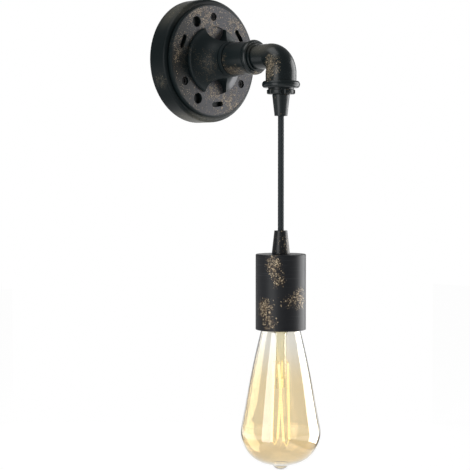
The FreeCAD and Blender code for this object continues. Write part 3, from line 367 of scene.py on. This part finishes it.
COUPLING_DABS = [((-0.008, -0.056, -0.011), (0.010, 0.016, 0.007), 0.9),
                 ((-0.012, -0.047, -0.002), (0.007, 0.006, 0.010), 0.35),
                 ((0.010, -0.055, -0.008), (0.008, 0.014, 0.008), 0.7)]
dress(antique("coupling_paint", COUPLING_DABS, haze_and_painted_light=seen(78, 70, 60), clear=0.4, gloss=0.30),
      "coupling_sleeve")

ELBOW_DABS = [((-0.0105, -0.1000, -0.010), (0.0100, 0.0110, 0.0155), 1.1),
              ((0.000, -0.072, -0.0135), (0.008, 0.004, 0.004), 0.8),
              ((0.011, -0.098, -0.004), (0.006, 0.009, 0.012), 0.8)]
# The elbow's veil is a painted highlight: lighter olive on top of its level leg, where light from
# above falls.
ELBOW_PAINTED_HIGHLIGHT = [((-0.009, -0.086, 0.0085), (0.013, 0.020, 0.011), 0.9)]
dress(antique("elbow_paint", ELBOW_DABS, ELBOW_PAINTED_HIGHLIGHT, haze_and_painted_light=seen(88, 86, 78), clear=0.65,
              gloss=0.26), "elbow")
dress(antique("bush_paint", [], thin=0.05, gloss=0.28), "castellated_bush")


# ---- Cord grips ------------------------------------------------------------------------------
# Tapered sleeves that clamp the cord at the bush and at the lampholder: turned, painted black, the
# lower one flecked where the cup's patina runs up its side.

dress(antique("upper_grip_paint", [], thin=0.02, gloss=0.30), "upper_cord_grip")
LOWER_GRIP_DABS = [((0.003, -0.1062, -0.152), (0.006, 0.006, 0.012), 0.8)]
dress(antique("lower_grip_paint", LOWER_GRIP_DABS, thin=0.10, black=seen(26, 28, 31),
              clear=0.6, gloss=0.30), "lower_cord_grip")


# ---- Cord ------------------------------------------------------------------------------------
# Two cores in a rubber sheath under a braided cloth sleeve, pulled straight by the lampholder.
# The free length shows; the rest runs inside the arm and down into the lampholder.

CORD_RADIUS = 0.00245
CORD_STRANDS = 12                # braided strands each way round
CORD_LAY = 0.0030                # a strand moves on by its own width in this length
STRAND_POINTS = 7                # of the mesh, across a strand
BRAID_RELIEF = 0.00016
BRAID_CREASE = math.radians(60)
cord_low, cord_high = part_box("cord")
HANGING_Y = (cord_low.y + cord_high.y) / 2    # of the axis that the lampholder hangs on
CORD_ROUTE = [(0.0, HANGING_Y, cord_high.z),
              (0.0, HANGING_Y, (cord_high.z + cord_low.z) / 2),
              (0.0, HANGING_Y, cord_low.z)]


def curve_points(name, route):
    """Points along the smooth line that a route of control points makes, without thickness."""
    curve = bpy.data.curves.new(name, "CURVE")
    curve.dimensions = "3D"
    spline = curve.splines.new("NURBS")
    spline.points.add(len(route) - 1)
    for point, place in zip(spline.points, route):
        point.co = (*place, 1.0)
    spline.order_u = 3
    spline.use_endpoint_u = True
    holder = bpy.data.objects.new(name, curve)
    line = bpy.data.meshes.new_from_object(holder)
    points = np.zeros(len(line.vertices) * 3)
    line.vertices.foreach_get("co", points)
    bpy.data.objects.remove(holder)
    return points.reshape(-1, 3)


def closed_rings(name, points, crease):
    """A closed mesh from rings of points, as an array of (ring, place on it, coordinate): quads
    between the rings, and a cap of triangles on a point in the middle of each end ring.  Edges
    that bend by more than the angle crease stay sharp."""
    rings, around = points.shape[:2]
    ends = points[[0, -1]].mean(axis=1)
    corner = np.arange(rings * around).reshape(rings, around)
    after = np.roll(corner, -1, axis=1)
    quads = np.stack([corner[:-1], after[:-1], after[1:], corner[1:]], -1).reshape(-1, 4)
    first, last = rings * around, rings * around + 1
    start = np.stack([np.full(around, first), after[0], corner[0]], -1)
    stop = np.stack([np.full(around, last), corner[-1], after[-1]], -1)
    mesh = bpy.data.meshes.new(name)
    mesh.from_pydata(np.concatenate([points.reshape(-1, 3), ends]).tolist(), [],
                     quads.tolist() + start.tolist() + stop.tolist())
    mesh.shade_smooth()
    mesh.set_sharp_from_angle(angle=crease)
    piece = bpy.data.objects.new(name, mesh)
    bpy.context.scene.collection.objects.link(piece)
    return piece


def braid_height(right, left):
    """Height of a plain braid, 0 to 1.  right and left count the strands of each hand that are
    passed: the hand on top changes with every crossing, and a strand is a half round across,
    highest in the middle of its float."""
    over = (np.floor(right) + np.floor(left)) % 2 == 0
    across = np.where(over, right % 1, left % 1)
    along = np.where(over, left % 1, right % 1)
    return np.sqrt(np.sin(np.pi * across)) * (0.55 + 0.45 * np.sin(np.pi * along))


def braided_sleeve(name, line, radius):
    """The cord's sleeve: circles round the line, turned counterclockwise seen from above, with
    the braid's height added to their radius."""
    steps = np.linalg.norm(np.diff(line, axis=0), axis=1)
    reach = np.concatenate([[0.0], np.cumsum(steps)])
    rings = int(reach[-1] / CORD_LAY * 2 * STRAND_POINTS)
    along = np.linspace(0.0, reach[-1], rings)
    centre = np.stack([np.interp(along, reach, line[:, i]) for i in range(3)], -1)
    ahead = np.gradient(centre, axis=0)
    ahead /= np.linalg.norm(ahead, axis=1, keepdims=True)
    side = np.cross(ahead, (0.0, 1.0, 0.0))
    side /= np.linalg.norm(side, axis=1, keepdims=True)
    front = np.cross(ahead, side)
    turn = np.linspace(0.0, 2 * np.pi, CORD_STRANDS * STRAND_POINTS, endpoint=False)
    strands = turn * CORD_STRANDS / (2 * np.pi)
    advance = along[:, None] / CORD_LAY
    height = braid_height(strands + advance, strands - advance)
    reach_out = (radius - BRAID_RELIEF * (1 - height))[..., None]
    ring = (np.cos(turn)[None, :, None] * side[:, None]
            + np.sin(turn)[None, :, None] * front[:, None])
    piece = closed_rings(name, centre[:, None] + reach_out * ring, BRAID_CREASE)
    shade = piece.data.attributes.new("height", "FLOAT", "POINT")
    shade.data.foreach_set("value", np.append(height.ravel(), [0.5, 0.5]).astype(np.float32))
    return piece


def cloth(name, height):
    """Woven rayon: dark in the gaps between strands as painted shade, grey where the threads catch
    the light as a painted highlight.  height makes the shade, 0 to 1, that says how high the weave
    stands."""
    finish = Finish(name)
    crest = height(finish)
    thread = grain(finish, 0.00012, 1.0, (1, 1, 4))
    # Painted shade in the gaps of the weave and a painted highlight on its crests.
    tone = finish.mix(seen(18, 22, 24), seen(62, 69, 72), crest.ramp(0.1, 1.0))
    finish.surface(Base_Color=finish.mix(tone, seen(40, 44, 47), thread.ramp(0.4, 0.8) * 0.5),
                   Roughness=0.62, Specular_IOR_Level=0.2,
                   Normal=finish.raised(thread, 0.00002))
    return finish


braided = cloth("cord_cloth", lambda finish: finish.node(
    "Attribute", {"attribute_name": "height"}, {}, "Fac"))
plain_cloth = cloth("hidden_cord_cloth", lambda finish: grain(finish, 0.0006))
dress(plain_cloth, "inner_lead", "cord_bend_core", "cord_tail")

cord_line = curve_points("cord_line", CORD_ROUTE)
cord = braided_sleeve("braided_cord", cord_line, CORD_RADIUS)
cord.data.materials.append(braided.block)
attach(cord, "pendant")
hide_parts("cord")


# ---- Lampholder ------------------------------------------------------------------------------
# A spun cup, black with fine turning lines and rubbed patches all round, over a moulded holder
# with a nickel screw shell and sprung contacts.

CUP_RADIUS = 0.02015


def on_cup(bearing, level):
    """Point on the cup's side: bearing is in degrees from straight away from the wall, towards
    +X, and level is its height."""
    turn = math.radians(bearing)
    return CUP_RADIUS * math.sin(turn), HANGING_Y - CUP_RADIUS * math.cos(turn), level


CUP_DABS = [(on_cup(-62, -0.1660), (0.0090, 0.0090, 0.0110), 1.1),
            (on_cup(-50, -0.1780), (0.0080, 0.0080, 0.0090), 0.7),
            (on_cup(3, -0.1930), (0.0095, 0.0095, 0.0120), 0.95),
            (on_cup(-25, -0.1955), (0.0110, 0.0110, 0.0080), 0.3),
            (on_cup(-84, -0.2005), (0.0105, 0.0105, 0.0110), 1.1),
            (on_cup(-72, -0.2120), (0.0090, 0.0090, 0.0090), 0.7),
            (on_cup(95, -0.1790), (0.0090, 0.0090, 0.0110), 0.9),
            (on_cup(150, -0.2040), (0.0090, 0.0090, 0.0100), 0.9)]
CUP_VEILS = [(on_cup(-84, -0.2035), (0.0110, 0.0110, 0.0120), 0.5)]
dress(antique("cup_paint", CUP_DABS, CUP_VEILS, black=seen(25, 27, 31), haze_and_painted_light=seen(58, 44, 32),
              clear=0.95, cast=0.00004, gloss=0.43, shine=0.29, brushed=0.00055),
      "lampholder_cup")

dress(moulded("holder_moulding", seen(34, 34, 35), seen(26, 26, 27), 0.35),
      "holder_dome", "holder_base", "holder_skirt")
dress(plated("nickel", seen(206, 202, 192), seen(180, 176, 166), 0.22), "screw_shell",
      "side_contact", "centre_contact", "holder_screws", "hollow_stem", "cup_nut")


# ---- Bulb ------------------------------------------------------------------------------------
# A squirrel-cage bulb: blown glass with an amber tint that is deepest in the bowl, sealed on a
# pressed cap, and inside it a glass stem that carries four lit filament strips.

GLASS_WALL = 0.0008
GLASS_OVERLAP = 0.0035           # glass inside the cap, above its rim
GLASS_SLIP = 0.0003              # neck that shows under the rim before the shoulder begins
GLASS_NECK = 0.0123              # radius inside the cap
# radius, and height from the cap's rim
GLASS_POINTS = [(0.0157, -0.0030), (0.0197, -0.01972), (0.0257, -0.04862), (0.0309, -0.07752),
                (0.0320, -0.08472), (0.0293, -0.09672), (0.0213, -0.10642), (0.0100, -0.11122),
                (0.0062, -0.11232)]
SPAN_POINTS, SHOULDER_POINTS, TIP_POINTS = 14, 8, 12    # of the mesh, along the profile
GLASS_FACETS = 160
GLASS_CREASE = math.radians(40)
glass_low, glass_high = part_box("glass_envelope")
CAP_RIM = glass_high.z - GLASS_OVERLAP


def spline_through(points, per_span):
    """Smooth line through points: on each span a cubic in the straight distance between its
    ends, with the same slope and bend as its neighbours where they meet, and no bend at the
    two ends.  Returns the places and the directions along it."""
    points = np.array(points)
    spans = np.linalg.norm(np.diff(points, axis=0), axis=1)
    count = len(points)
    system = np.eye(count)
    right = np.zeros_like(points)
    inner = np.arange(1, count - 1)
    system[inner, inner - 1] = spans[:-1]
    system[inner, inner] = 2 * (spans[:-1] + spans[1:])
    system[inner, inner + 1] = spans[1:]
    slopes = np.diff(points, axis=0) / spans[:, None]
    right[inner] = 6 * np.diff(slopes, axis=0)
    bend = np.linalg.solve(system, right)
    share = np.linspace(0, 1, per_span, endpoint=False)[None, :, None]
    a, b = points[:-1, None], points[1:, None]
    m, n, h = bend[:-1, None], bend[1:, None], spans[:, None, None]
    place = (1 - share) * a + share * b + h ** 2 / 6 * (
        ((1 - share) ** 3 - (1 - share)) * m + (share ** 3 - share) * n)
    slope = (b - a) / h + h / 6 * ((1 - 3 * (1 - share) ** 2) * m + (3 * share ** 2 - 1) * n)
    return place.reshape(-1, 2), slope.reshape(-1, 2)


def glass_profile(neck, inset, pole):
    """One skin of the glass as (radius, height): the neck, a quarter round shoulder, the flank
    and bowl moved inwards by inset, and the round tip down to the pole on the axis."""
    outline = [(radius, CAP_RIM + height) for radius, height in GLASS_POINTS]
    flank, slope = spline_through(outline, SPAN_POINTS)
    slope /= np.linalg.norm(slope, axis=1, keepdims=True)
    flank = flank + inset * np.stack([slope[:, 1], -slope[:, 0]], -1)
    top = CAP_RIM - GLASS_SLIP
    turn = np.linspace(0, np.pi / 2, SHOULDER_POINTS, endpoint=False)
    reach, drop = flank[0, 0] - neck, top - flank[0, 1]
    shoulder = np.stack([neck + reach * (1 - np.cos(turn)), top - drop * np.sin(turn)], -1)
    edge = flank[-1]
    rise = edge[1] - pole
    ball = (edge[0] ** 2 + rise ** 2) / (2 * rise)
    sweep = np.linspace(math.asin(min(1.0, edge[0] / ball)), 0, TIP_POINTS)[1:]
    tip = np.stack([ball * np.sin(sweep), pole + ball * (1 - np.cos(sweep))], -1)
    start = [[neck, CAP_RIM + GLASS_OVERLAP]]
    return np.concatenate([start, shoulder, flank, tip])


def turned(name, profile, facets, crease):
    """A shape turned about the hanging axis: x = r cos a, y = r sin a from the axis."""
    turn = np.linspace(0, 2 * np.pi, facets, endpoint=False)
    radius, level = profile[:, :1], profile[:, 1:]
    points = np.stack([radius * np.cos(turn), HANGING_Y + radius * np.sin(turn),
                       level + 0 * turn], -1)
    return closed_rings(name, points, crease)


outer_skin = glass_profile(GLASS_NECK, 0.0, glass_low.z)
inner_skin = glass_profile(GLASS_NECK - GLASS_WALL, GLASS_WALL, glass_low.z + GLASS_WALL)
envelope = turned("glass_bulb", np.concatenate([outer_skin[::-1], inner_skin]), GLASS_FACETS,
                  GLASS_CREASE)

BELLY = glass_low.z + 0.031      # height of the widest part
NECK_TINT = seen(243, 241, 235)
# each tint further down, and the heights between which it takes over
LOWER_TINTS = [(seen(245, 233, 207), CAP_RIM - 0.010, CAP_RIM - 0.050),
               (seen(237, 219, 182), BELLY - 0.002, BELLY - 0.016),
               (seen(238, 228, 204), BELLY - 0.018, BELLY - 0.025)]
amber = Finish("amber_glass")
uneven_level = amber.place().part("Z") + 0.004 * (grain(amber, 0.03) - 0.5)
tint = NECK_TINT
for lower_tint, start, end in LOWER_TINTS:
    tint = amber.mix(tint, lower_tint, uneven_level.ramp(start, end))
amber.surface(Base_Color=tint, Transmission_Weight=1.0, Roughness=0.0, IOR=1.6, Coat_Weight=0.7)
envelope.data.materials.append(amber.block)
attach(envelope, "bulb")
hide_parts("glass_envelope")

clear = Finish("clear_glass")
streaks = grain(clear, 0.02)
clear.surface(Base_Color=clear.mix(seen(254, 252, 240), seen(253, 248, 226), streaks),
              Transmission_Weight=1.0, Roughness=0.0, IOR=1.25)
dress(clear, "stem_glass")

CHIP_PITCH = 0.0011              # from the middle of a lit chip to the gap beside it
strip = Finish("filament_phosphor")
chips = strip.place().part("Z").math("PINGPONG", CHIP_PITCH).ramp(0.0, CHIP_PITCH)
strip.surface(Base_Color=strip.mix(seen(236, 196, 96), seen(246, 214, 124), chips),
              Emission_Color=strip.mix(seen(255, 244, 196), seen(255, 255, 236), chips),
              Emission_Strength=1.0, Roughness=0.5)
dress(strip, "filaments")

# The support wires are given a warm glow of their own, painted light, though they are no lamp.
glowing_wire = Finish("lead_wire")
drawn = grain(glowing_wire, 0.0004)
glowing_wire.surface(Base_Color=glowing_wire.mix(seen(236, 220, 176), seen(214, 196, 150), drawn),
             Emission_Color=glowing_wire.mix(seen(255, 236, 168), seen(250, 222, 140), drawn),
             Emission_Strength=0.6, Metallic=0.6, Roughness=0.3)
dress(glowing_wire, "support_wires")
dress(plated("cap_metal", seen(214, 208, 194), seen(190, 184, 170), 0.3), "cap_shell",
      "cap_contact")
dress(moulded("cap_glass", seen(26, 26, 30), seen(18, 18, 22), 0.15), "cap_insulator")
dress(moulded("board", seen(206, 208, 196), seen(188, 190, 178), 0.5), "driver_board")


# ---- Studio ----------------------------------------------------------------------------------
# A pale floor and a white backdrop, two tall soft boxes and an overhead one, and a long lens to
# the left of the wall light, a little above its middle.

CAMERA_PLACE = (-0.8352, -0.9345, -0.0933)
CAMERA_TURN = -43.27             # degrees from looking straight at the wall
CAMERA_TILT = -2.42
LENS = 113.13                    # millimetres, on the usual 36 mm of film

camera = bpy.data.objects.new("camera", bpy.data.cameras.new("camera"))
camera.data.lens = LENS
camera.location = CAMERA_PLACE
camera.rotation_euler = (math.radians(90 + CAMERA_TILT), 0, math.radians(CAMERA_TURN))
bpy.context.scene.collection.objects.link(camera)
bpy.context.scene.camera = camera


def soft_box(name, bearing, elevation, distance, width, height, aim, radiance):
    """A flat lamp that faces the hanging axis at the level aim.  Its bearing is in degrees from
    straight away from the wall, towards +X, and its power follows from how bright it looks.  It
    isn't seen straight through the glass, only mirrored in it: straight is 1 where light has
    passed glass and was turned back by nothing."""
    glow = Finish(name, bpy.data.lights, "AREA")
    passes = glow.node("LightPath", {}, {}, "Transmission Depth")
    turned_back = passes.beside("Glossy Depth") + passes.beside("Diffuse Depth")
    straight = (1.0 - passes < 0.5) * (turned_back < 0.5)
    face = glow.node("Emission", {}, {"Strength": 1.0 - straight})
    glow.node("OutputLight", {}, {"Surface": face})
    data = glow.block
    data.shape = "RECTANGLE"
    data.size = width
    data.size_y = height
    data.energy = radiance * math.pi * data.size * data.size_y
    lamp = bpy.data.objects.new(name, data)
    turn, rise = math.radians(bearing), math.radians(elevation)
    flat = distance * math.cos(rise)
    lamp.location = (flat * math.sin(turn), HANGING_Y - flat * math.cos(turn),
                     aim + distance * math.sin(rise))
    lamp.rotation_euler = (math.pi / 2 - rise, 0, turn)
    lamp.visible_camera = False
    bpy.context.scene.collection.objects.link(lamp)


soft_box("right_soft_box", bearing=70, elevation=0, distance=0.95, width=0.85, height=1.26,
         aim=-0.09, radiance=4.7)
soft_box("left_soft_box", bearing=-84, elevation=0, distance=0.95, width=0.56, height=1.12,
         aim=-0.16, radiance=2.7)
soft_box("top_soft_box", bearing=-115, elevation=62, distance=1.2, width=0.8, height=0.8,
         aim=0.0, radiance=2.4)

WHITE = (1, 1, 1, 1)
PAPER_GREY = (0.3, 0.3, 0.3, 1)  # share of the lamps' light that paper sends back
PAPER_NEAR = 1.0                 # distance up to which its near share holds
PAPER_FAR = 2.0                  # distance from which its far share does
FLOOR_LEVEL = -0.75
FLOOR_HALF = 6.0
BACKDROP_AWAY = 2.6
BACKDROP_TOP = 1.2
SWEEP_HALF = 0.55                # half the width of the white paper
SWEEP_FADE = 0.1                 # beside it, over which its mirror image goes dark
SIDE_SHADE = 0.85                # how dark it goes
SIDE_END = (2.0, 1.2)            # squares of the distances between which the dark ends
ahead = np.array([math.sin(math.radians(-CAMERA_TURN)), math.cos(math.radians(-CAMERA_TURN))])
across = np.array([ahead[1], -ahead[0]])


def aside_squared(finish, place):
    """The square of how far a place or direction lies to the side of the camera's heading."""
    aside = finish.node("VectorMath", {"operation": "DOT_PRODUCT"},
                        {0: place, 1: (*across, 0.0)}, "Value")
    return aside * aside


def paper(name, corners, plain, near, far):
    """A flat sheet of studio paper, white to the camera.  In mirrors and through glass it is
    white within the sweep, dark in a strip on both sides of it and white again farther out.
    It sends plain light to everything else.  near and far are the shares of its white that no
    shadow darkens, under the light and where the lamps reach it no more."""
    mesh = bpy.data.meshes.new(name)
    mesh.from_pydata(corners, [], [(0, 1, 2, 3)])
    sheet = bpy.data.objects.new(name, mesh)
    finish = Finish(name)
    aside = aside_squared(finish, finish.place())
    sides = aside.ramp(SWEEP_HALF ** 2, (SWEEP_HALF + SWEEP_FADE) ** 2) * aside.ramp(*SIDE_END)
    camera_ray = finish.node("LightPath", {}, {}, "Is Camera Ray")
    mirrored = camera_ray.beside("Is Glossy Ray") | camera_ray.beside("Is Transmission Ray")
    white = camera_ray | mirrored * (1.0 - SIDE_SHADE * sides)
    away = finish.node("VectorMath", {"operation": "LENGTH"}, {0: finish.place()}, "Value")
    bright = near + away.ramp(PAPER_NEAR, PAPER_FAR) * (far - near)
    glow = finish.node("Emission", {}, {"Color": WHITE,
                                        "Strength": white * (bright - plain) + plain})
    if near < 1:
        lit = finish.node("BsdfDiffuse", {}, {"Color": PAPER_GREY})
        glow = finish.node("AddShader", {}, {0: glow, 1: lit})
    finish.node("OutputMaterial", {}, {"Surface": glow})
    mesh.materials.append(finish.block)
    finish.block.cycles.emission_sampling = "NONE"
    bpy.context.scene.collection.objects.link(sheet)


middle = ahead * BACKDROP_AWAY
left_end, right_end = middle - across * SWEEP_HALF, middle + across * SWEEP_HALF
paper("backdrop", [(*left_end, FLOOR_LEVEL), (*right_end, FLOOR_LEVEL),
                   (*right_end, BACKDROP_TOP), (*left_end, BACKDROP_TOP)],
      plain=0.35, near=1.0, far=1.0)
paper("floor", [(FLOOR_HALF * x, FLOOR_HALF * y, FLOOR_LEVEL)
                for x, y in ((-1, -1), (1, -1), (1, 1), (-1, 1))],
      plain=0.0, near=0.75, far=0.93)

ROOM_LIGHT = 0.18                # where 1 is the white that the camera sees
ROOM_MIRRORED = 0.1              # more than that in mirrors
ROOM_THROUGH_GLASS = 0.78        # more than that through glass, but for the flags
FLAG_SHADE = 0.6
FLAG_START = (0.03, 0.05)        # squares of the sine of the angle to the side
FLAG_END = (0.38, 0.25)

# The flags are dark strips beside the paper that show only through the glass, where they draw
# its outline on the white.
room = Finish("room", bpy.data.worlds)
aside = aside_squared(room, room.node("TexCoord", {}, {}, "Generated"))
flag = aside.ramp(*FLAG_START) * aside.ramp(*FLAG_END)
camera_ray = room.node("LightPath", {}, {}, "Is Camera Ray")
strength = (ROOM_LIGHT + camera_ray * (1.0 - ROOM_LIGHT)
            + camera_ray.beside("Is Glossy Ray") * ROOM_MIRRORED
            + camera_ray.beside("Is Transmission Ray") * (ROOM_THROUGH_GLASS - FLAG_SHADE * flag))
room.node("OutputWorld", {}, {"Surface": room.node("Background", {}, {
    "Color": WHITE, "Strength": strength})})
bpy.context.scene.world = room.block
bpy.context.scene.view_settings.view_transform = "Standard"
